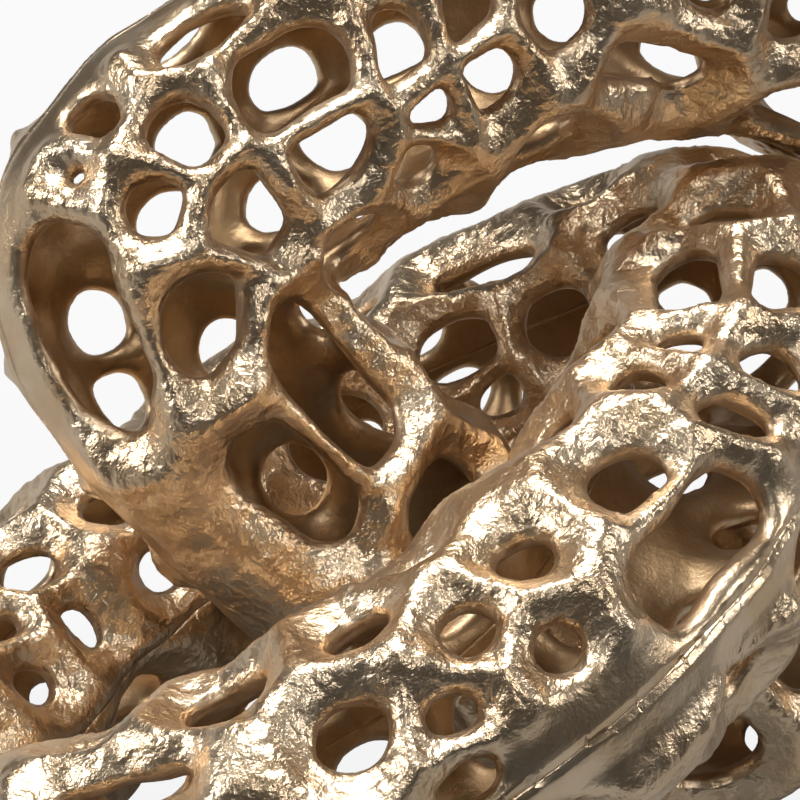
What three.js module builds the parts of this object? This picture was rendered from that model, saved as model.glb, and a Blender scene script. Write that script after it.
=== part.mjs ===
// Chain link sculpture: two openwork oval links, each cast as two half shells and welded round its middle.
// Millimetres, +Z up, the floor at z = 0. The photograph's camera looks along +Y and down.
import * as THREE from 'three';

// Driving sizes of a link, all in millimetres
const OPENING_HALF_LENGTH = 61.7;
const ROOM_BESIDE_ARM = 8.7;
const ARM_RADIUS = 22.6;
const END_SWELL = 1.2;
const INNER_END_DEPTH = 27.7;
const WALL = 5.6;

// How far the outlines are drawn in from an ellipse towards pointed ends, as shares of their half widths
const RING_POINTEDNESS = 0.097;
const OPENING_POINTEDNESS = 0.2;
const TIP_SHARE = 0.027;

// Openwork
const USUAL_HOLE_RADIUS = 6;
const LARGEST_HOLE_RADIUS = 8.4;
const SMALLEST_HOLE_RADIUS = 3.4;
const STRUT_WIDTH = 4.6;
const SEAM_RIM = 3.8;
const STRUT_ROUNDING = 1.3;
const NARROWEST_HOLE_REACH = 1.6;
const LARGEST_HOLE_SHARE = 0.85;
const SHORTEST_STRUT = 3;
const LONGEST_FACET = 10;
const WIDEST_FACET_TURN = THREE.MathUtils.degToRad(27);

// Clearances
const WELD_GAP = 0.3;
const LINK_CLEARANCE = 0.7;

// How the links lie, in degrees: heading of the tilt axis, tilt of the ring, turn of the ring in its plane
const LOWER_LINK_LIE = { heading: -122.7, tilt: 32.4, turn: 163.6 };
const UPPER_LINK_LIE = { heading: 30.1, tilt: 55.5, turn: 155.5 };

// The upper link's arm lies under the lower link's arm at these places on the two rings, in this direction
const UPPER_LINK_ARM = THREE.MathUtils.degToRad(72);
const LOWER_LINK_ARM = THREE.MathUtils.degToRad(307);
const WAY_UNDER = new THREE.Vector3(-0.557, 0.072, -0.828).normalize();

// Fineness of the grid on which the holes share out a half shell, and of the rings when they are laid down
const GRID_ALONG = 360;
const GRID_ROUND = 54;
const HOLE_TRIES = 6000;
const SPREADING_ROUNDS = 3;
const RIM_STEP = 0.02;
const LOWER_LINK_SEED = 11;
const UPPER_LINK_SEED = 29;
const BEND_REACH = 12;
const RING_SAMPLES = 240;
const LAYING_ROUNDS = 60;

const OPENING_HALF_WIDTH = ARM_RADIUS + ROOM_BESIDE_ARM;
const RING_HALF_LENGTH = OPENING_HALF_LENGTH + INNER_END_DEPTH;
const RING_HALF_WIDTH = OPENING_HALF_WIDTH + ARM_RADIUS;

const radians = THREE.MathUtils.degToRad;
const SMALL_TURN = 0.001;

// A pointed oval: an ellipse drawn in between its ends and its sides
function pointedOval(t, halfLength, tipShare, halfWidth, pointedness) {
  const x = halfLength * ((1 - tipShare) * Math.cos(t) + tipShare * Math.cos(3 * t));
  const y = halfWidth * ((1 - pointedness) * Math.sin(t) - pointedness * Math.sin(3 * t));
  return new THREE.Vector3(x, y, 0);
}

// The tube's middle runs round the ring. t turns along it.
// v turns round the tube: 0 outside, 90 front, 180 inside.
function ringPoint(t) {
  return pointedOval(t, RING_HALF_LENGTH, TIP_SHARE, RING_HALF_WIDTH, RING_POINTEDNESS);
}

function openingPoint(t) {
  return pointedOval(t, OPENING_HALF_LENGTH, 0, OPENING_HALF_WIDTH, OPENING_POINTEDNESS);
}

function alongRing(t) {
  return ringPoint(t + SMALL_TURN).sub(ringPoint(t - SMALL_TURN)).normalize();
}

function outwards(t) {
  return alongRing(t).cross(new THREE.Vector3(0, 0, 1));
}

function tubeRadius(t) {
  return ARM_RADIUS + END_SWELL * Math.cos(t) ** 2;
}

// The outer half of the tube is round, and the inner half reaches to the opening's outline
function skinPoint(t, v, depth) {
  const radius = tubeRadius(t) - depth;
  const point = ringPoint(t);
  if (Math.cos(v) > 0) {
    point.addScaledVector(outwards(t), radius * Math.cos(v));
  } else {
    const inwards = openingPoint(t).sub(point);
    point.addScaledVector(inwards, (1 - depth / inwards.length()) * -Math.cos(v));
  }
  point.z = radius * Math.sin(v);
  return point;
}

// Holes that the photograph shows, as [t, v, radius] in degrees and millimetres.
// A slot is a row of places that share one hole.
// A place in a solid list is metal with no hole, also where the links touch.
const UPPER_FRONT = [
  [[343, 60, 6.5]], [[354, 70, 5.5]], [[348, 99, 7.5]], [[14, 90, 9]], [[15, 42, 9], [9, 39, 9], [3, 36, 9]],
  [[355, 38, 3]], [[348, 30, 4], [348, 21, 4]], [[326, 68, 7.5], [331, 66, 7.5]], [[330, 98, 7]],
  [[316, 74, 5], [317, 82, 5]], [[330, 34, 5.5], [335, 32, 5.5]], [[308, 75, 4.5], [310, 81, 4.5]],
  [[309, 106, 5.5]], [[316, 105, 5]], [[300, 93, 6.5]], [[282, 136, 4], [287, 130, 4], [292, 123, 4]],
  [[282, 105, 5]], [[270, 108, 4.5]], [[322, 124, 4.5]],
  [[40, 114, 7.5], [34, 114, 7.5], [29, 114, 7.5], [23, 114, 7.5]],
  [[42, 76, 6.5], [38, 75, 6.5], [34, 74, 6.5]],
  [[53, 122, 5.5], [52, 112, 5.5], [52, 103, 5.5]],
];
const UPPER_FRONT_SOLID = [
  [[27, 12]], [[36, 10]], [[32, 36]], [[45, 37]], [[53, 48]], [[72, 131]], [[344, 24, 3]], [[336, 53, 3]],
  [[24, 87, 3]], [[22, 60, 3]],
];
const UPPER_BACK = [
  [[333, -87]], [[345, -105]], [[332, -130]], [[318, -119]], [[318, -86]], [[305, -97]], [[304, -122]],
  [[295, -119]], [[284, -102]], [[270, -123]], [[14, -79]], [[25, -65]], [[28, -118]],
];
const UPPER_BACK_SOLID = [[[60, -116]], [[250, -175]]];
const LOWER_FRONT = [
  [[42, 137, 6.5]], [[22, 144, 6.5]], [[38, 162, 4.5]], [[352, 114, 5.5], [4, 117, 5.5]],
  [[32, 108, 4], [37, 104, 4], [42, 100, 4]], [[323, 87, 5.5], [319, 82, 5.5], [315, 77, 5.5]],
  [[323, 45, 6], [318, 53, 6]], [[334, 72, 4.5], [334, 84, 4.5]], [[306, 72, 4.5]], [[300, 79, 5]],
  [[308, 33, 4], [306, 40, 4]], [[300, 33, 4], [298, 43, 4]], [[286, 56, 7]], [[274, 66, 4.5]],
  [[266, 56, 4.5]], [[270, 31, 4]], [[261, 34, 4]], [[254, 47, 5]],
  [[291, 22, 7], [286, 21, 7], [281, 20, 7]], [[260, 14, 4]],
  [[240, 65, 3.5], [236, 69, 3.5], [232, 74, 3.5]],
  [[106, 118, 5]], [[108, 150, 3.5]], [[116, 130, 3.5]], [[120, 155, 3.5]], [[93, 159, 4]], [[92, 121, 5]],
  [[234, 112, 5]],
];
const LOWER_FRONT_SOLID = [
  [[82, 166]], [[100, 141, 3]], [[86, 142, 3]], [[279, 96, 3]], [[357, 28]], [[279, 42, 3]], [[270, 14, 2]],
  [[292, 44, 2]], [[344, 73, 2]], [[262, 51, 1]], [[246, 49, 2]],
];
const LOWER_BACK = [
  [[49, -19]], [[40, -38]], [[18, -24]], [[8, -29]], [[10, -54]], [[22, -46]], [[95, -23]], [[101, -44]],
  [[84, -26]], [[316, -101]], [[257, -156]], [[286, -48, 5], [282, -36, 5]],
];
const LOWER_BACK_SOLID = [[[58, -177]], [[307, -156]], [[276, -12, 3]]];

// A fixed sequence of numbers between 0 and 1, the same on every run
function numberSequence(seed) {
  let state = seed;
  return () => {
    state = (state * 1664525 + 1013904223) % 4294967296;
    return state / 4294967296;
  };
}

// A spot on the skin, or a round place with a radius on it
function makeSpot(t, v, radius = 0) {
  return { t, v, radius, at: skinPoint(t, v, 0), facing: outwards(t) };
}

// The gap between two places is wide if they lie far apart or face different ways, as across a sharp bend
function gapBetween(a, b) {
  const turned = a.facing.distanceToSquared(b.facing) * BEND_REACH ** 2;
  return Math.sqrt(a.at.distanceToSquared(b.at) + turned) - a.radius - b.radius;
}

// Holes that the photograph shows stay put, while the rest are spread out between them
function photographedHoles(list, solid, side) {
  const onSide = ([t, v, radius = USUAL_HOLE_RADIUS]) => {
    return makeSpot(radians(side * t), radians(side * v), radius);
  };
  return list.map((places) => ({ places: places.map(onSide), solid, fixed: true }));
}

// Large holes are placed first, and smaller ones find room between them
function fillWithHoles(holes, seed) {
  const next = numberSequence(seed);
  for (let i = 0; i < HOLE_TRIES; i += 1) {
    const radius = LARGEST_HOLE_RADIUS + ((SMALLEST_HOLE_RADIUS - LARGEST_HOLE_RADIUS) * i) / HOLE_TRIES;
    const margin = (radius + SEAM_RIM) / ARM_RADIUS;
    const place = makeSpot(next() * 2 * Math.PI, margin + next() * (Math.PI - 2 * margin), radius);
    const free = holes.every((hole) => hole.places.every((other) => gapBetween(place, other) > STRUT_WIDTH));
    if (free) holes.push({ places: [place], solid: false, fixed: false });
  }
  return holes;
}

// The grid over one half shell
function makeGrid() {
  const points = [];
  for (let row = 0; row <= GRID_ROUND; row += 1) {
    for (let column = 0; column < GRID_ALONG; column += 1) {
      points.push(makeSpot((2 * Math.PI * column) / GRID_ALONG, (Math.PI * row) / GRID_ROUND));
    }
  }
  return points;
}

// For each spot of the grid, the number of the hole that lies nearest
function nearestHoles(grid, holes) {
  const places = holes.flatMap((hole, index) => hole.places.map((place) => ({ index, place })));
  return grid.map((spot) => {
    let best = -1;
    let least = Infinity;
    for (const { index, place } of places) {
      const distance = gapBetween(place, spot);
      if (distance < least) {
        least = distance;
        best = index;
      }
    }
    return best;
  });
}

function turnBetween(from, to) {
  return Math.atan2(Math.sin(to - from), Math.cos(to - from));
}

function spreadHoles(grid, holes) {
  for (let round = 0; round < SPREADING_ROUNDS; round += 1) {
    const owners = nearestHoles(grid, holes);
    const sums = holes.map(() => ({ t: 0, v: 0, weight: 0 }));
    grid.forEach((point, index) => {
      const owner = owners[index];
      const place = holes[owner].places[0];
      const weight = localStretch(point.t, point.v);
      sums[owner].t += weight * turnBetween(place.t, point.t);
      sums[owner].v += weight * point.v;
      sums[owner].weight += weight;
    });
    holes.forEach((hole, index) => {
      if (hole.fixed || sums[index].weight === 0) return;
      const { t, v, weight } = sums[index];
      const place = hole.places[0];
      hole.places[0] = makeSpot(place.t + t / weight, v / weight, place.radius);
    });
  }
}

// Millimetres along the skin for each radian of t
function localStretch(t, v) {
  return skinPoint(t, v, 0).distanceTo(skinPoint(t + SMALL_TURN, v, 0)) / SMALL_TURN;
}

// Strut corners lie where three holes' shares meet, and where two meet on a seam. Near ones become one.
function findCorners(grid, owners) {
  const found = [];
  const at = (row, column) => row * GRID_ALONG + (column % GRID_ALONG);
  for (let row = 0; row < GRID_ROUND; row += 1) {
    for (let column = 0; column < GRID_ALONG; column += 1) {
      const spot = grid[at(row, column)];
      const [first, second] = [at(row, column + 1), at(row + 1, column + 1)];
      const start = at(row, column);
      for (const triangle of [[start, first, second], [start, second, at(row + 1, column)]]) {
        const owner = new Set(triangle.map((index) => owners[index]));
        if (owner.size === 3) {
          found.push({ t: spot.t, v: spot.v + Math.PI / GRID_ROUND / 2, owners: owner });
        }
      }
    }
  }
  for (const row of [0, GRID_ROUND]) {
    for (let column = 0; column < GRID_ALONG; column += 1) {
      const owner = new Set([owners[at(row, column)], owners[at(row, column + 1)]]);
      if (owner.size === 2) {
        const { t, v } = grid[at(row, column)];
        found.push({ t, v, owners: owner, seam: true });
      }
    }
  }
  return found;
}

function mergeCorners(found) {
  const corners = [];
  const left = new Set(found.map((_, index) => index));
  const spots = found.map((corner) => makeSpot(corner.t, corner.v));
  while (left.size > 0) {
    const cluster = [left.values().next().value];
    left.delete(cluster[0]);
    for (let i = 0; i < cluster.length; i += 1) {
      for (const other of left) {
        if (gapBetween(spots[other], spots[cluster[i]]) < SHORTEST_STRUT) {
          cluster.push(other);
          left.delete(other);
        }
      }
    }
    const members = cluster.map((index) => found[index]);
    const onSeam = members.filter((member) => member.seam);
    const used = onSeam.length > 0 ? onSeam : members;
    const first = used[0];
    const t = first.t + used.reduce((sum, member) => sum + turnBetween(first.t, member.t), 0) / used.length;
    const v = used.reduce((sum, member) => sum + member.v, 0) / used.length;
    const owners = new Set(members.flatMap((member) => [...member.owners]));
    corners.push({ t, v, owners, seam: onSeam.length > 0, id: corners.length });
  }
  return corners;
}

// A hole's outline runs through its corners in order round its middle
function cellOutline(hole, index, corners) {
  const own = corners.filter((corner) => corner.owners.has(index));
  const start = hole.places[0];
  const local = own.map((corner) => ({ t: start.t + turnBetween(start.t, corner.t), v: corner.v }));
  const middle = {
    t: local.reduce((sum, corner) => sum + corner.t, 0) / local.length,
    v: local.reduce((sum, corner) => sum + corner.v, 0) / local.length,
  };
  const stretch = localStretch(middle.t, middle.v) / tubeRadius(middle.t);
  const turned = own.map(({ v, seam, id }, i) => {
    const { t } = local[i];
    return { t, v, seam, id, angle: Math.atan2(v - middle.v, stretch * (t - middle.t)) };
  });
  return turned.sort((a, b) => a.angle - b.angle);
}

// Long struts get points between their corners, the same ones from both sides
function withPointsBetween(outline) {
  const points = [];
  outline.forEach((from, i) => {
    const to = outline[(i + 1) % outline.length];
    points.push({ ...from, key: `corner ${from.id}` });
    const forward = from.id < to.id;
    const length = skinPoint(from.t, from.v, 0).distanceTo(skinPoint(to.t, to.v, 0));
    const turn = Math.max(Math.abs(to.t - from.t), Math.abs(to.v - from.v));
    const pieces = Math.max(1, Math.ceil(length / LONGEST_FACET), Math.ceil(turn / WIDEST_FACET_TURN));
    for (let k = 1; k < pieces; k += 1) {
      const share = k / pieces;
      const name = forward ? `${from.id} ${to.id} ${k}` : `${to.id} ${from.id} ${pieces - k}`;
      points.push({
        t: from.t + (to.t - from.t) * share,
        v: from.v + (to.v - from.v) * share,
        seam: from.seam && to.seam && from.v === to.v,
        key: `between ${name}`,
      });
    }
  });
  return points;
}

// The hole reaches out round its places as far as their radius, but leaves half a strut inside its outline
function holeOutline(hole, outline) {
  const count = outline.length;
  const middle = {
    t: outline.reduce((sum, point) => sum + point.t, 0) / count,
    v: outline.reduce((sum, point) => sum + point.v, 0) / count,
  };
  const centre = skinPoint(middle.t, middle.v, 0);
  return outline.map((point) => {
    const towards = (share) => makeSpot(
      middle.t + (point.t - middle.t) * share,
      middle.v + (point.v - middle.v) * share,
    );
    const reach = skinPoint(point.t, point.v, 0).distanceTo(centre);
    const least = Math.min(NARROWEST_HOLE_REACH / reach, LARGEST_HOLE_SHARE);
    let share = Math.min(LARGEST_HOLE_SHARE, 1 - (point.seam ? SEAM_RIM : STRUT_WIDTH / 2) / reach);
    while (share > least && hole.places.every((place) => gapBetween(place, towards(share)) > 0)) {
      share -= RIM_STEP;
    }
    return towards(Math.max(share, least));
  });
}

// Builds one closed half shell from the holes' outlines
function halfShellGeometry(holes) {
  const grid = makeGrid();
  spreadHoles(grid, holes);
  const corners = mergeCorners(findCorners(grid, nearestHoles(grid, holes)));
  const positions = [];
  const triangles = [];
  const known = new Map();
  const vertex = (key, t, v, depth) => {
    if (!known.has(key)) {
      const point = skinPoint(t, v, depth);
      known.set(key, positions.length / 3);
      positions.push(point.x, point.y, point.z + WELD_GAP / 2);
    }
    return known.get(key);
  };
  const quad = (a, b, c, d) => triangles.push(a, b, c, a, c, d);
  holes.forEach((hole, index) => {
    const outline = withPointsBetween(cellOutline(hole, index, corners));
    const rim = outline.map((point) => vertex(`${point.key} out`, point.t, point.v, 0));
    const rimInside = outline.map((point) => vertex(`${point.key} in`, point.t, point.v, WALL));
    const next = (i) => (i + 1) % outline.length;
    if (hole.solid) {
      const place = hole.places[0];
      const top = vertex(`middle ${index} out`, place.t, place.v, 0);
      const bottom = vertex(`middle ${index} in`, place.t, place.v, WALL);
      outline.forEach((_, i) => {
        triangles.push(rim[i], rim[next(i)], top, rimInside[next(i)], rimInside[i], bottom);
      });
    } else {
      const edge = holeOutline(hole, outline);
      const lip = edge.map((p, i) => vertex(`hole ${index} ${i} out`, p.t, p.v, STRUT_ROUNDING));
      const lipInside = edge.map((p, i) => vertex(`hole ${index} ${i} in`, p.t, p.v, WALL - STRUT_ROUNDING));
      outline.forEach((_, i) => {
        quad(rim[i], rim[next(i)], lip[next(i)], lip[i]);
        quad(lip[i], lip[next(i)], lipInside[next(i)], lipInside[i]);
        quad(lipInside[i], lipInside[next(i)], rimInside[next(i)], rimInside[i]);
      });
    }
    outline.forEach((point, i) => {
      if (point.seam && outline[next(i)].seam && point.v === outline[next(i)].v) {
        quad(rim[next(i)], rim[i], rimInside[i], rimInside[next(i)]);
      }
    });
  });
  const geometry = new THREE.BufferGeometry();
  geometry.setAttribute('position', new THREE.Float32BufferAttribute(positions, 3));
  geometry.setIndex(triangles);
  geometry.computeVertexNormals();
  return geometry;
}

function castMetal() {
  return new THREE.MeshStandardMaterial({ color: 0xa88e6c, roughness: 0.38, metalness: 1 });
}

function halfShell(name, open, solid, side, seed) {
  const holes = [...photographedHoles(open, false, side), ...photographedHoles(solid, true, side)];
  const mesh = new THREE.Mesh(halfShellGeometry(fillWithHoles(holes, seed)), castMetal());
  mesh.name = name;
  if (side < 0) mesh.rotation.x = Math.PI;
  return mesh;
}

function makeLink(name, front, frontSolid, back, backSolid, seed) {
  const link = new THREE.Group();
  link.add(halfShell(`${name}_front_half`, front, frontSolid, 1, seed));
  link.add(halfShell(`${name}_back_half`, back, backSolid, -1, seed + 1));
  return link;
}

function lieOf({ heading, tilt, turn }) {
  const matrix = new THREE.Matrix4().makeRotationZ(radians(heading));
  matrix.multiply(new THREE.Matrix4().makeRotationX(radians(tilt)));
  matrix.multiply(new THREE.Matrix4().makeRotationZ(radians(turn)));
  return matrix;
}

// The ring as a row of balls on its centreline, to measure how near two links come
function ringOf(matrix) {
  return Array.from({ length: RING_SAMPLES }, (_, i) => {
    const t = (2 * Math.PI * i) / RING_SAMPLES;
    return { t, at: ringPoint(t).applyMatrix4(matrix), radius: tubeRadius(t) };
  });
}

// The least gap between two rings, and the way from the other ring to this one there
function closest(ring, other) {
  let gap = Infinity;
  const way = new THREE.Vector3();
  for (const a of ring) {
    for (const b of other) {
      const distance = a.at.distanceTo(b.at) - a.radius - b.radius;
      if (distance < gap) {
        gap = distance;
        way.subVectors(a.at, b.at).normalize();
      }
    }
  }
  return { gap, way };
}

// The upper link's arm goes under the lower link's arm.
// The link is then moved off the lower one where they meet.
function layOn(lower) {
  const lie = lieOf(UPPER_LINK_LIE);
  const arm = ringPoint(UPPER_LINK_ARM).applyMatrix4(lie);
  const seat = ringPoint(LOWER_LINK_ARM).applyMatrix4(lower);
  seat.addScaledVector(WAY_UNDER, tubeRadius(UPPER_LINK_ARM) + tubeRadius(LOWER_LINK_ARM) + LINK_CLEARANCE);
  const place = seat.sub(arm);
  const lowerRing = ringOf(lower);
  for (let i = 0; i < LAYING_ROUNDS; i += 1) {
    lie.setPosition(place);
    const { gap, way } = closest(ringOf(lie), lowerRing);
    place.addScaledVector(way, Math.max(0, LINK_CLEARANCE - gap));
  }
  return lie.setPosition(place);
}

const lowerLie = lieOf(LOWER_LINK_LIE);
const lowerLists = [LOWER_FRONT, LOWER_FRONT_SOLID, LOWER_BACK, LOWER_BACK_SOLID];
const upperLists = [UPPER_FRONT, UPPER_FRONT_SOLID, UPPER_BACK, UPPER_BACK_SOLID];
const lowerLink = makeLink('lower_link', ...lowerLists, LOWER_LINK_SEED);
const upperLink = makeLink('upper_link', ...upperLists, UPPER_LINK_SEED);
lowerLink.applyMatrix4(lowerLie);
upperLink.applyMatrix4(layOn(lowerLie));

const sculpture = new THREE.Group();
sculpture.add(lowerLink, upperLink);

// The sculpture stands on the floor with its middle over the origin
const box = new THREE.Box3().setFromObject(sculpture, true);
const middle = box.getCenter(new THREE.Vector3());
for (const link of sculpture.children) {
  link.position.sub(new THREE.Vector3(middle.x, middle.y, box.min.z));
}

export default sculpture;
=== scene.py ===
# %% [markdown]
# # Chain link sculpture
# Two openwork oval links lie one over the other on a table. Each link is a hollow ring of cast gold-coloured metal,
# full of irregular rounded holes, so that it looks like coral or like gum that was pulled thin while it was warm.
# This lesson loads the plain solids of the links, grows the melted-looking surface on copies of them, and then makes
# the metal, the table and the light.

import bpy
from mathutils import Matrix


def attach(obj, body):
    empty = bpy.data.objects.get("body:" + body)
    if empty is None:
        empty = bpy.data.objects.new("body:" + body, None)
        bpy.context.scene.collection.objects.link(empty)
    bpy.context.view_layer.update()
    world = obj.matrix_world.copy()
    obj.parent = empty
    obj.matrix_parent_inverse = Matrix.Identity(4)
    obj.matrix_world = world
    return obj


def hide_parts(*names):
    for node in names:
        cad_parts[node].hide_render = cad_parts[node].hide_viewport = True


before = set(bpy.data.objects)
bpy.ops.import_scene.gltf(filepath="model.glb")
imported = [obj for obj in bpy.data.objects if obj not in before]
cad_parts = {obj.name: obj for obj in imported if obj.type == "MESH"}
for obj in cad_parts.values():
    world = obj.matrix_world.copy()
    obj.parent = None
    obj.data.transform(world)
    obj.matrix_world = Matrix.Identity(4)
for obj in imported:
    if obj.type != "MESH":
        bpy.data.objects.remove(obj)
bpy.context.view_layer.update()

# %% [markdown]
# ## Tools of the trade
# numpy works on thousands of points at once. The sizes below are in millimetres, as a caster would write them, and
# MM turns them into Blender's metres.

# %% Imports and units
import math

import bmesh
import bpy
import numpy as np
from mathutils import Matrix, Vector, kdtree, noise

MM = 0.001
LINKS = ("upper_link", "lower_link")
SIDES = ("front", "back")

# %% [markdown]
# ## The camera
# The photograph was taken from 42 degrees above the table with a long lens, close enough that the links run out of
# the picture on three sides. The camera is placed by a point and by the direction of its right, up and back axes,
# and the blur of the real lens is left out, so that every part of the piece can be judged.

# %% Camera
CAMERA_PLACE = (-23.8425, -298.9251, 357.6453)
CAMERA_RIGHT = (0.999701, 0.016164, 0.018362)
CAMERA_UP = (-0.024461, 0.671653, 0.740462)
CAMERA_BACK = (-0.000364, -0.740690, 0.671847)
LENS_PER_SENSOR = 3.548046
SENSOR = 36

camera_data = bpy.data.cameras.new("camera")
camera_data.sensor_width = SENSOR
camera_data.lens = SENSOR * LENS_PER_SENSOR
camera_data.clip_start = 0.01
camera_data.clip_end = 100
camera = bpy.data.objects.new("camera", camera_data)
bpy.context.scene.collection.objects.link(camera)
turn = Matrix((CAMERA_RIGHT, CAMERA_UP, CAMERA_BACK)).transposed().to_4x4()
camera.matrix_world = Matrix.Translation(Vector(CAMERA_PLACE) * MM) @ turn
bpy.context.scene.camera = camera
print("camera at", [round(value, 3) for value in camera.location])

# %% [markdown]
# ## The shape of a link
# The tube of a link runs round a pointed oval. A place on it is given by t, the turn along the ring, by v, the turn
# round the tube (0 outside, 90 degrees at the front, 180 inside), and by its depth under the skin. The outer half
# of the tube is round. The inner half reaches to the outline of the opening, which comes to a sharp point at each
# end, as the photograph shows where the two arms of the upper link part.

# %% The ring and its skin
RING_HALF_LENGTH, RING_HALF_WIDTH = 89.4, 53.9
RING_TIP_SHARE, RING_POINTEDNESS = 0.027, 0.097
OPENING_HALF_LENGTH, OPENING_HALF_WIDTH = 61.7, 31.3
OPENING_POINTEDNESS = 0.2
TUBE_RADIUS, END_SWELL = 22.6, 1.2
WALL = 5.6
HALF_WELD_GAP = 0.15


def pointed_oval(t, half_length, tip_share, half_width, pointedness):
    x = half_length * ((1 - tip_share) * np.cos(t) + tip_share * np.cos(3 * t))
    y = half_width * ((1 - pointedness) * np.sin(t) - pointedness * np.sin(3 * t))
    return np.stack([x, y], -1)


def ring_point(t):
    return pointed_oval(t, RING_HALF_LENGTH, RING_TIP_SHARE, RING_HALF_WIDTH, RING_POINTEDNESS)


def opening_point(t):
    return pointed_oval(t, OPENING_HALF_LENGTH, 0, OPENING_HALF_WIDTH, OPENING_POINTEDNESS)


def outwards(t, step=0.001):
    along = ring_point(t + step) - ring_point(t - step)
    along /= np.linalg.norm(along, axis=-1, keepdims=True)
    return np.stack([along[..., 1], -along[..., 0]], -1)


def tube_radius(t):
    return TUBE_RADIUS + END_SWELL * np.cos(t) ** 2


def skin_point(t, v, depth):
    """The place at t, v and a depth under the skin, in the link's own frame."""
    radius = tube_radius(t) - depth
    inwards = opening_point(t) - ring_point(t)
    reach = np.linalg.norm(inwards, axis=-1)
    outside = outwards(t) * (radius * np.cos(v))[..., None]
    inside = inwards * ((1 - depth / reach) * -np.cos(v))[..., None]
    flat = ring_point(t) + np.where((np.cos(v) > 0)[..., None], outside, inside)
    return np.concatenate([flat, (radius * np.sin(v))[..., None]], -1)


print("ring", 2 * RING_HALF_LENGTH, "by", 2 * RING_HALF_WIDTH, "mm, tube", 2 * TUBE_RADIUS, "mm thick")

# %% [markdown]
# ## Where the links lie
# Each link has its own frame: the ring lies flat in it. The lie is a heading, a tilt and a turn in the ring's own
# plane, and the place of the ring's middle.

# %% The lie of each link
LIES = {
    "lower_link": {"middle": (-36.3844, -12.5452, 52.0268), "heading": -122.7, "tilt": 32.4, "turn": 163.6},
    "upper_link": {"middle": (20.8403, 38.3847, 68.6638), "heading": 30.1, "tilt": 55.5, "turn": 155.5},
}


def link_frame(link):
    """The matrix from the link's own frame to the table's, in millimetres."""
    lie = LIES[link]
    turned = Matrix.Rotation(math.radians(lie["heading"]), 4, "Z")
    turned @= Matrix.Rotation(math.radians(lie["tilt"]), 4, "X")
    turned @= Matrix.Rotation(math.radians(lie["turn"]), 4, "Z")
    return Matrix.Translation(lie["middle"]) @ turned


def moved(points, matrix):
    matrix = np.array(matrix)
    return points @ matrix[:3, :3].T + matrix[:3, 3]


def mesh_points(mesh):
    points = np.empty(len(mesh.vertices) * 3, np.float32)
    mesh.vertices.foreach_get("co", points)
    return points.reshape(-1, 3).astype(float)


for link in LINKS:
    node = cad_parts[f"{link}_front_half"]
    local = moved(mesh_points(node.data) / MM, link_frame(link).inverted())
    print(link, "front half starts", round(local[:, 2].min(), 3), "mm from the ring's plane")

# %% [markdown]
# ## Reading the solids back
# The solids are made of flat facets up to 10 mm long, which polished metal would show at once. The corners of the
# facets lie true, though. So each corner's t, v and depth are worked out from its place, and the facets are then
# cut finely in t, v and depth instead of in space, which bends every small piece onto the true round skin.

# %% Find t, v and depth of a point
SEARCH_STEPS = 1440
REFINING_ROUNDS = 12
HALVINGS = 30


def cross(a, b):
    return a[..., 0] * b[..., 1] - a[..., 1] * b[..., 0]


def sight(points, t, outer):
    """How far beside and along the line at t each point lies, outwards or towards the opening."""
    inwards = opening_point(t) - ring_point(t)
    reach = np.linalg.norm(inwards, axis=-1)
    line = np.where(outer[..., None], outwards(t), inwards / reach[..., None])
    away = points - ring_point(t)
    return cross(away, line), (away * line).sum(-1), reach


def find_turn(points):
    """t of each point, and whether it lies on the outer half of the tube."""
    table = np.linspace(0, 2 * np.pi, SEARCH_STEPS, endpoint=False)
    best = np.full(len(points), np.inf)
    turns = np.zeros(len(points))
    outer = np.zeros(len(points), bool)
    for t in table:
        for side in (True, False):
            beside, along, reach = sight(points, np.full(len(points), t), np.full(len(points), side))
            allowed = (along > -0.01) & (side | (along < reach * 1.01))
            better = allowed & (np.abs(beside) < best)
            best[better], turns[better], outer[better] = np.abs(beside[better]), t, side
    low, high = turns - 2 * np.pi / SEARCH_STEPS, turns + 2 * np.pi / SEARCH_STEPS
    low_side = sight(points, low, outer)[0]
    for _ in range(REFINING_ROUNDS):
        half = (low + high) / 2
        same = sight(points, half, outer)[0] * low_side > 0
        low, high = np.where(same, half, low), np.where(same, high, half)
    return (low + high) / 2, outer


def find_place(points):
    """t, v and depth of each point of a half shell, given in the link's own frame."""
    height = np.sign(points[:, 2]) * (np.abs(points[:, 2]) - HALF_WELD_GAP)
    t, outer = find_turn(points[:, :2])
    _, along, reach = sight(points[:, :2], t, outer)
    radius = tube_radius(t)
    low, high = np.full(len(t), -1.0), np.full(len(t), WALL + 1.0)
    for _ in range(HALVINGS):
        half = (low + high) / 2
        deeper = (along / (reach - half)) ** 2 + (height / (radius - half)) ** 2 < 1
        low, high = np.where(deeper, half, low), np.where(deeper, high, half)
    inner_depth = (low + high) / 2
    depth = np.where(outer, radius - np.hypot(along, height), inner_depth)
    inner_v = np.arctan2(height / (radius - depth), -along / (reach - depth))
    return t, np.where(outer, np.arctan2(height, along), inner_v), depth


# %% [markdown]
# ## Cutting the facets finely
# Every triangle becomes a grid of small ones. The two half shells are pushed slightly into each other at the weld,
# because the next step melts whatever overlaps into one body.

# %% Fine copies of the half shells
CUTS = 6
WELD_OVERLAP = 0.5
WELD_REACH = 1.5

steps = [(i, j) for i in range(CUTS + 1) for j in range(CUTS + 1 - i)]
number = {step: index for index, step in enumerate(steps)}
shares = np.array([[CUTS - i - j, i, j] for i, j in steps]) / CUTS
small = [(number[i, j], number[i + 1, j], number[i, j + 1]) for i, j in steps if i + j < CUTS]
small += [(number[i + 1, j], number[i + 1, j + 1], number[i, j + 1]) for i, j in steps if i + j < CUTS - 1]
small = np.array(small)


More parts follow.
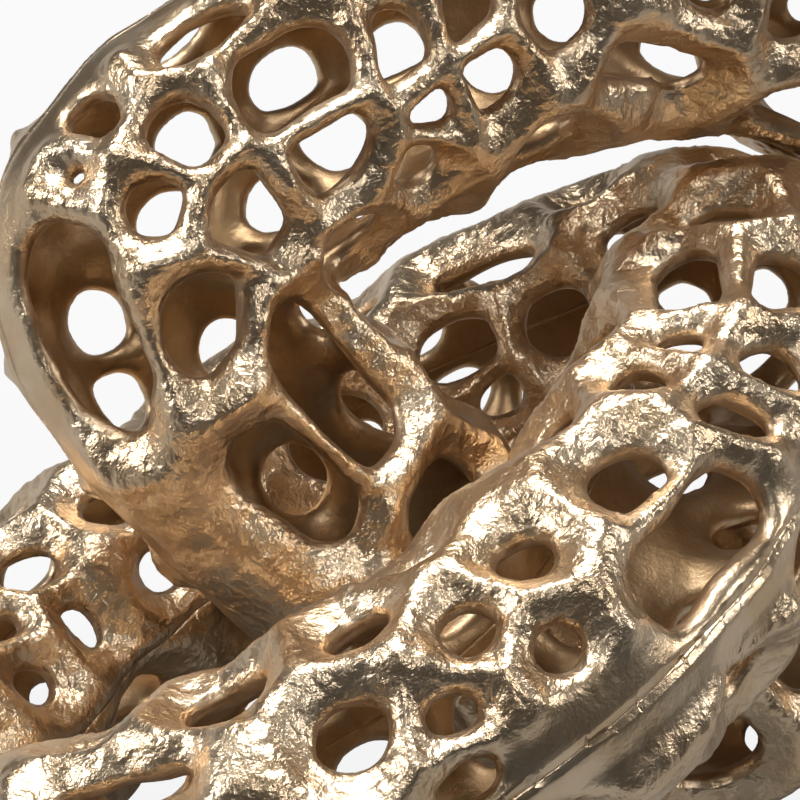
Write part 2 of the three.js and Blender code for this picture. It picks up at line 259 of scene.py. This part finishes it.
def fine_half(link, side):
    """Points, small triangles and depths of a half shell, bent onto the round skin."""
    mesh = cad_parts[f"{link}_{side}_half"].data
    mesh.calc_loop_triangles()
    corners = np.array([triangle.vertices for triangle in mesh.loop_triangles])
    points, which = np.unique(np.round(mesh_points(mesh) / MM, 3), axis=0, return_inverse=True)
    t, v, depth = find_place(moved(points, link_frame(link).inverted()))
    corners = which.reshape(-1)[corners]
    t3, v3, depth3 = t[corners], v[corners], depth[corners]
    t3 = t3[:, :1] + (t3 - t3[:, :1] + np.pi) % (2 * np.pi) - np.pi
    v3 = np.where((v3 * (1 if side == "front" else -1)) < -1, -v3, v3)
    t_fine, v_fine, depth_fine = (values @ shares.T for values in (t3, v3, depth3))
    fine = skin_point(t_fine.ravel(), v_fine.ravel(), depth_fine.ravel())
    sign = 1 if side == "front" else -1
    height = fine[:, 2] * sign
    fine[:, 2] = (height - WELD_OVERLAP * np.clip(1 - height / WELD_REACH, 0, 1)) * sign
    offsets = np.arange(len(corners))[:, None, None] * len(steps)
    triangles = (offsets + small[None]).reshape(-1, 3)
    print(link, side, "depths", round(depth.min(), 3), "to", round(depth.max(), 3), "mm,", len(triangles), "facets")
    return fine, triangles, np.stack([t_fine.ravel(), v_fine.ravel(), depth_fine.ravel()], -1)


def new_object(name, points, faces):
    mesh = bpy.data.meshes.new(name)
    mesh.from_pydata([tuple(point) for point in points], [], [tuple(face) for face in faces])
    made = bpy.data.objects.new(name, mesh)
    bpy.context.scene.collection.objects.link(made)
    return made


# %% [markdown]
# ## Melting
# Voxel remeshing reads the shells as a volume and wraps a new even skin round it. It joins the halves, and gives
# every part of the surface points of the same size. Smoothing then takes the corners off, so that the struts turn
# from planks into ropes and the corners of the holes into rounded webs.

# %% Remesh and smooth
VOXEL = 0.92
MELTING_ROUNDS = 14


SETTLING_ROUNDS = 5


def with_modifiers(holder, rounds):
    """The object's mesh after its modifiers and a number of smoothing rounds."""
    smooth = holder.modifiers.new("smooth", "SMOOTH")
    smooth.factor, smooth.iterations = 0.5, rounds
    shape = bpy.data.meshes.new_from_object(holder.evaluated_get(bpy.context.evaluated_depsgraph_get()))
    bpy.data.objects.remove(holder)
    return shape


def melted(name, points, faces):
    """A new mesh: the volume of the faces, evenly meshed and rounded. In millimetres."""
    rough = new_object(name, points, faces)
    remesh = rough.modifiers.new("remesh", "REMESH")
    remesh.mode, remesh.voxel_size = "VOXEL", VOXEL
    shape = with_modifiers(rough, MELTING_ROUNDS)
    print(name, "melted into", len(shape.polygons), "faces")
    return shape


def smoothed(mesh, rounds):
    holder = bpy.data.objects.new("smoothed", mesh)
    bpy.context.scene.collection.objects.link(holder)
    return with_modifiers(holder, rounds)


def point_normals(mesh):
    normals = np.empty(len(mesh.vertices) * 3, np.float32)
    mesh.vertices.foreach_get("normal", normals)
    return normals.reshape(-1, 3).astype(float)


def set_points(mesh, points):
    mesh.vertices.foreach_set("co", points.astype(np.float32).ravel())
    mesh.update()


# %% [markdown]
# ## Knuckles
# Where three struts meet, the real casting bulges into a knuckle, so the outer skin rises with its distance from the
# nearest hole. It keeps its place where the other link or the table is near, at rest and while the upper link tilts.

# %% Knuckles and the room for them
KNUCKLE_START, KNUCKLE_FULL, KNUCKLE_HEIGHT = 0.5, 6.5, 2.6
NO_ROOM, FULL_ROOM = 1.2, 5.0
LIP_DEPTH = 1.3
HINGE_PLACE = (-13.7245, -0.1209, 45.4148)
HINGE_AXIS = (0.7844, -0.0372, -0.6192)
HINGE_TURNS = (0, 15, 30, 45, 65)
RING_SAMPLES = 240


def nearest(tree_points, points):
    """For each point, the number of the nearest tree point and its distance."""
    tree = kdtree.KDTree(len(tree_points))
    for index, point in enumerate(tree_points):
        tree.insert(point, index)
    tree.balance()
    found = [tree.find(point) for point in points]
    return np.array([index for _, index, _ in found]), np.array([distance for _, _, distance in found])


def room_beside(points, link):
    """How far each point is from the table, and from the other link's round skin as the upper link tilts."""
    other = "lower_link" if link == "upper_link" else "upper_link"
    t = np.linspace(0, 2 * np.pi, RING_SAMPLES, endpoint=False)
    ring = moved(np.concatenate([ring_point(t), np.zeros((RING_SAMPLES, 1))], -1), link_frame(other))
    room = moved(points, link_frame(link))[:, 2]
    for degrees in HINGE_TURNS:
        signed = degrees if link == "upper_link" else -degrees
        turned = Matrix.Rotation(math.radians(signed), 4, Vector(HINGE_AXIS))
        about = Matrix.Translation(HINGE_PLACE) @ turned @ Matrix.Translation(-Vector(HINGE_PLACE))
        there = moved(points, about @ link_frame(link))
        for place, radius in zip(ring, tube_radius(t)):
            room = np.minimum(room, np.linalg.norm(there - place, axis=1) - radius)
    return room


def smooth_step(low, high, values):
    share = np.clip((values - low) / (high - low), 0, 1)
    return share * share * (3 - 2 * share)


# %% [markdown]
# ## Lumps and hammer marks
# Two kinds of unevenness are modelled: slow lumps as wide as a strut, and small dents like those of a hammered
# sheet, which lie only on the outward faces. The dents are rounded and meet in sharp ridges, because their depth is
# the noise without its sign. Finer grain than this is left to the material's bump.

# %% Noise on points
LUMP_SIZE, LUMP_HEIGHT = 11.0, 0.8
DENT_SIZE, DENT_DEPTH = 3.8, 0.55
PIT_SIZE, PIT_DEPTH = 1.9, 0.2
SEAM_DEPTH = 0.35


def noise_at(points, size, seed):
    shift = Vector((seed, seed * 0.7, -seed * 0.3))
    return np.array([noise.noise(Vector(point) / size + shift) for point in points])


def shaped_link(link, seed):
    """The finished surface of a link in its own frame, in millimetres, and marks on its points for the metal."""
    halves = [fine_half(link, side) for side in SIDES]
    count = len(halves[0][0])
    points = np.concatenate([half[0] for half in halves])
    faces = np.concatenate([halves[0][1], halves[1][1] + count])
    places = np.concatenate([half[2] for half in halves])
    mesh = melted(link, points, faces)
    base, normals = mesh_points(mesh), point_normals(mesh)
    near, _ = nearest(points, base)
    t, v, depth = places[near].T
    lips = points[(np.abs(places[:, 2] - LIP_DEPTH) < 0.01)]
    _, from_hole = nearest(lips, base)
    hub = np.concatenate([ring_point(t), np.zeros((len(t), 1))], -1)
    away = base - hub
    away /= np.linalg.norm(away, axis=1, keepdims=True)
    facing = (away * normals).sum(1)
    outer = smooth_step(0.2, 0.8, facing) * smooth_step(WALL * 0.8, WALL * 0.3, depth)
    room = smooth_step(NO_ROOM, FULL_ROOM, room_beside(base, link))
    ground = smooth_step(math.radians(24), math.radians(12), np.abs(v)) * outer
    seam = smooth_step(0.9, 0.1, np.abs(base[:, 2])) * outer
    knuckle = smooth_step(KNUCKLE_START, KNUCKLE_FULL, from_hole) * KNUCKLE_HEIGHT
    knuckle = knuckle * outer * room * (1 - ground)
    lumps = noise_at(base, LUMP_SIZE, seed) * LUMP_HEIGHT * room
    set_points(mesh, base + normals * (lumps + knuckle)[:, None])
    mesh = smoothed(mesh, SETTLING_ROUNDS)
    base, normals = mesh_points(mesh), point_normals(mesh)
    dents = np.abs(noise_at(base, DENT_SIZE, seed + 5)) * DENT_DEPTH
    dents += np.abs(noise_at(base, PIT_SIZE, seed + 9)) * PIT_DEPTH
    fall = dents * outer * (1 - ground) + SEAM_DEPTH * seam
    set_points(mesh, base - normals * fall[:, None])
    return mesh, {"depth": np.clip(depth / WALL, 0, 1), "ground": ground, "outer": outer, "seam": seam}


# %% [markdown]
# ## Two halves again
# The melted link is cut along the ring's plane, where the real halves are welded, so each half still stands for its
# own solid. The cut faces are closed and meet inside the wall.

# %% Cut into halves
def half_of(mesh, side):
    """The part of the mesh on one side of the ring's plane, closed."""
    bm = bmesh.new()
    bm.from_mesh(mesh)
    normal = Vector((0, 0, -1)) if side == "front" else Vector((0, 0, 1))
    everything = bm.verts[:] + bm.edges[:] + bm.faces[:]
    cut = bmesh.ops.bisect_plane(bm, geom=everything, dist=1e-4, plane_co=(0, 0, 0), plane_no=normal, clear_outer=True)
    edges = [item for item in cut["geom_cut"] if isinstance(item, bmesh.types.BMEdge)]
    bmesh.ops.triangle_fill(bm, use_beauty=False, use_dissolve=False, edges=edges)
    bmesh.ops.recalc_face_normals(bm, faces=bm.faces[:])
    open_edges = sum(1 for edge in bm.edges if not edge.is_manifold)
    part = bpy.data.meshes.new("half")
    bm.to_mesh(part)
    bm.free()
    print(side, "half:", len(part.polygons), "faces,", open_edges, "open edges")
    return part


pieces = {}
for link, seed in zip(LINKS, (3.1, 8.4)):
    mesh, marks = shaped_link(link, seed)
    for name, values in marks.items():
        mesh.attributes.new(name, "FLOAT", "POINT").data.foreach_set("value", values.astype(np.float32))
    for side in SIDES:
        part = half_of(mesh, side)
        part.transform(Matrix.Scale(MM, 4) @ link_frame(link))
        part.polygons.foreach_set("use_smooth", np.ones(len(part.polygons), bool))
        name = f"{link}_{side}_casting"
        piece = bpy.data.objects.new(name, part)
        bpy.context.scene.collection.objects.link(piece)
        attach(piece, link)
        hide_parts(f"{link}_{side}_half")
        pieces[name] = piece

# %% [markdown]
# ## Writing materials as sums
# A material is a tree of nodes. The small class below lets the tree be written as ordinary arithmetic: adding two
# of its values makes a Math node that adds them. Every other node comes from one method.

# %% Values that add nodes
class Value:
    """One output socket of a node tree, with arithmetic on it."""

    def __init__(self, tree, socket):
        self.tree, self.socket = tree, socket

    @staticmethod
    def node(tree, kind, settings=None, inputs=None, output=0):
        """A new node: its settings first, then its sockets, given by name or number."""
        made = tree.nodes.new(kind)
        for key, setting in (settings or {}).items():
            if key == "stops":
                set_stops(made.color_ramp, setting)
            else:
                setattr(made, key, setting)
        for key, given in (inputs or {}).items():
            if isinstance(given, Value):
                tree.links.new(given.socket, made.inputs[key])
            else:
                made.inputs[key].default_value = given
        return Value(tree, made.outputs[output])

    def math(self, operation, *others, clamp=False):
        inputs = dict(enumerate((self, *others)))
        return Value.node(self.tree, "ShaderNodeMath", {"operation": operation, "use_clamp": clamp}, inputs)

    def __add__(self, other):
        return self.math("ADD", other)

    def __sub__(self, other):
        return self.math("SUBTRACT", other)

    def __rsub__(self, other):
        return Value.node(self.tree, "ShaderNodeMath", {"operation": "SUBTRACT"}, {0: other, 1: self})

    def __mul__(self, other):
        return self.math("MULTIPLY", other)

    __radd__, __rmul__ = __add__, __mul__

    def step(self, low, high):
        """0 under low, 1 over high, and smooth between them."""
        settings = {"interpolation_type": "SMOOTHSTEP"}
        return Value.node(self.tree, "ShaderNodeMapRange", settings, {0: self, 1: low, 2: high})


def set_stops(ramp, stops):
    while len(ramp.elements) < len(stops):
        ramp.elements.new(1)
    for element, (place, color) in zip(ramp.elements, stops):
        element.position, element.color = place, color


# %% [markdown]
# ## The metal
# The casting is a warm, pale gold bronze. Its outward faces are hammered: small bright facets, about two
# millimetres wide, with a finer grain over them. The walls of the holes are satin. The inside is painted brown, a
# painted shade that stands for light reaching it only from metal to metal. The ground weld band is smooth and shines.

# %% Cast metal
GOLD = (0.74, 0.54, 0.34, 1)
PALE_GOLD = (0.84, 0.66, 0.46, 1)
# painted shade: the brown that the inside of the tube is painted
PAINTED_SHADE_BROWN = (0.44, 0.27, 0.12, 1)
DARK_FLECK = (0.12, 0.09, 0.04, 1)
RED_FLECK = (0.50, 0.12, 0.06, 1)


def mix_colors(tree, share, first, second):
    settings = {"data_type": "RGBA"}
    return Value.node(tree, "ShaderNodeMix", settings, {0: share, 6: first, 7: second}, output=2)


def cast_metal(name, shift):
    material = bpy.data.materials.new(name)
    material.use_nodes = True
    tree = material.node_tree
    shader = tree.nodes["Principled BSDF"]
    place = Value.node(tree, "ShaderNodeTexCoord", output="Object")
    place = Value.node(tree, "ShaderNodeVectorMath", {"operation": "ADD"}, {0: place, 1: (shift, shift, -shift)})
    depth = Value.node(tree, "ShaderNodeAttribute", {"attribute_name": "depth"}, output="Fac")
    ground = Value.node(tree, "ShaderNodeAttribute", {"attribute_name": "ground"}, output="Fac")
    outer = Value.node(tree, "ShaderNodeAttribute", {"attribute_name": "outer"}, output="Fac")
    seam = Value.node(tree, "ShaderNodeAttribute", {"attribute_name": "seam"}, output="Fac")

    def clouds(scale, detail=2.0, roughness=0.5):
        inputs = {"Vector": place, "Scale": scale, "Detail": detail, "Roughness": roughness}
        return Value.node(tree, "ShaderNodeTexNoise", {}, inputs)

    def cells(scale, settings, output="Distance"):
        inputs = {"Vector": place, "Scale": scale, "Randomness": 1.0}
        return Value.node(tree, "ShaderNodeTexVoronoi", settings, inputs, output)

    hammer = cells(480.0, {"feature": "F1"})
    foil = clouds(560.0, 3.0, 0.55)
    grain = clouds(2100.0, 3.0, 0.65)
    slow = clouds(110.0, 3.0, 0.5)
    rough_skin = outer * (1 - ground)
    relief = rough_skin * (hammer * 0.3 + foil * 0.65) + foil * 0.25 + grain * 0.08 - seam * 0.6
    bump = Value.node(tree, "ShaderNodeBump", {}, {"Height": relief, "Distance": 0.0005, "Strength": 1.0})
    edge = outer * (1 - outer) * 4
    flecks = clouds(420.0, 5.0, 0.7).step(0.53, 0.60) * (edge * 0.75 + depth * 0.25)
    red_spots = cells(75.0, {"feature": "F1"}).step(0.10, 0.05) * clouds(900.0).step(0.5, 0.6)
    tint = mix_colors(tree, slow.step(0.35, 0.65), GOLD, PALE_GOLD)
    # painted shade: deeper under the skin the base colour turns brown, for light that reaches the inside only from
    # metal to metal
    tint = mix_colors(tree, depth.step(0.25, 1.0) * 0.75, tint, PAINTED_SHADE_BROWN)
    tint = mix_colors(tree, flecks * 0.5, tint, DARK_FLECK)
    tint = mix_colors(tree, red_spots * 0.3, tint, RED_FLECK)
    tree.links.new(tint.socket, shader.inputs["Base Color"])
    roughness = 0.29 + slow * 0.06 + flecks * 0.2 + (1 - outer) * 0.08
    tree.links.new(roughness.socket, shader.inputs["Roughness"])
    tree.links.new(bump.socket, shader.inputs["Normal"])
    shader.inputs["Metallic"].default_value = 1.0
    return material


for link, shift in zip(LINKS, (0.0, 0.37)):
    metal = cast_metal(f"{link}_metal", shift)
    for side in SIDES:
        pieces[f"{link}_{side}_casting"].data.materials.append(metal)

# %% [markdown]
# ## Table, backdrop and light
# The sculpture stands on a white table. The floor glows for the camera alone, so it looks white without extra lamps.
# In reflections it is a plain grey, and the rest of its colour is lit, so it keeps a soft shadow. The room is dark,
# because metal shows only what it mirrors: bright lamps in a dark room give the sharp glints of the photograph. The
# largest lamp hangs above and behind the piece.

# %% Floor
FLOOR_HALF = 30.0
FLOOR_GLOW = 0.9

floor = new_object("floor", [(-FLOOR_HALF, -FLOOR_HALF, 0), (FLOOR_HALF, -FLOOR_HALF, 0),
                             (FLOOR_HALF, FLOOR_HALF, 0), (-FLOOR_HALF, FLOOR_HALF, 0)], [(0, 1, 2, 3)])


def white_floor():
    material = bpy.data.materials.new("white_floor")
    material.use_nodes = True
    tree = material.node_tree
    tree.nodes.clear()
    seen = Value.node(tree, "ShaderNodeLightPath", output="Is Camera Ray")
    lit = Value.node(tree, "ShaderNodeBsdfDiffuse", {}, {"Color": (0.4, 0.4, 0.4, 1)})
    glow = Value.node(tree, "ShaderNodeEmission", {}, {"Color": (1, 1, 1, 1), "Strength": 1.0})
    mixed = Value.node(tree, "ShaderNodeMixShader", {}, {0: seen * FLOOR_GLOW, 1: lit, 2: glow})
    end = tree.nodes.new("ShaderNodeOutputMaterial")
    tree.links.new(mixed.socket, end.inputs["Surface"])
    return material


floor.data.materials.append(white_floor())

# %% Room
ROOM_STOPS = [(0.0, (0.12, 0.12, 0.12, 1)), (0.5, (0.12, 0.12, 0.12, 1)), (0.6, (0.04, 0.04, 0.04, 1))]

world = bpy.data.worlds.new("room")
bpy.context.scene.world = world
world.use_nodes = True
sky = world.node_tree
sky.nodes.clear()
direction = Value.node(sky, "ShaderNodeTexCoord", output="Generated")
height = Value.node(sky, "ShaderNodeSeparateXYZ", {}, {0: direction}, output=2)
shade = Value.node(sky, "ShaderNodeValToRGB", {"stops": ROOM_STOPS}, {0: height * 0.5 + 0.5})
seen = Value.node(sky, "ShaderNodeLightPath", output="Is Camera Ray")
shade = mix_colors(sky, seen, shade, (1, 1, 1, 1))
glow = Value.node(sky, "ShaderNodeBackground", {}, {"Color": shade, "Strength": 1.0})
sky_end = sky.nodes.new("ShaderNodeOutputWorld")
sky.links.new(glow.socket, sky_end.inputs["Surface"])

# %% Lamps
LAMPS = [
    ("overhead", (-0.10, 0.45, 0.85), (0.60, 0.35), 9.0),
    ("left", (-0.90, -0.05, 0.50), (0.20, 0.50), 4.0),
    ("right", (0.90, 0.10, 0.60), (0.15, 0.40), 2.0),
    ("front", (0.10, -0.45, 1.10), (0.16, 0.16), 1.6),
]
TARGET = Vector((0, 0, 0.06))

for name, place, size, power in LAMPS:
    lamp = bpy.data.lights.new(name, "AREA")
    lamp.shape, lamp.size, lamp.size_y, lamp.energy = "RECTANGLE", size[0], size[1], power
    holder = bpy.data.objects.new(name, lamp)
    holder.location = place
    holder.rotation_euler = (TARGET - Vector(place)).to_track_quat("-Z", "Y").to_euler()
    bpy.context.scene.collection.objects.link(holder)

bpy.context.scene.view_settings.view_transform = "Standard"
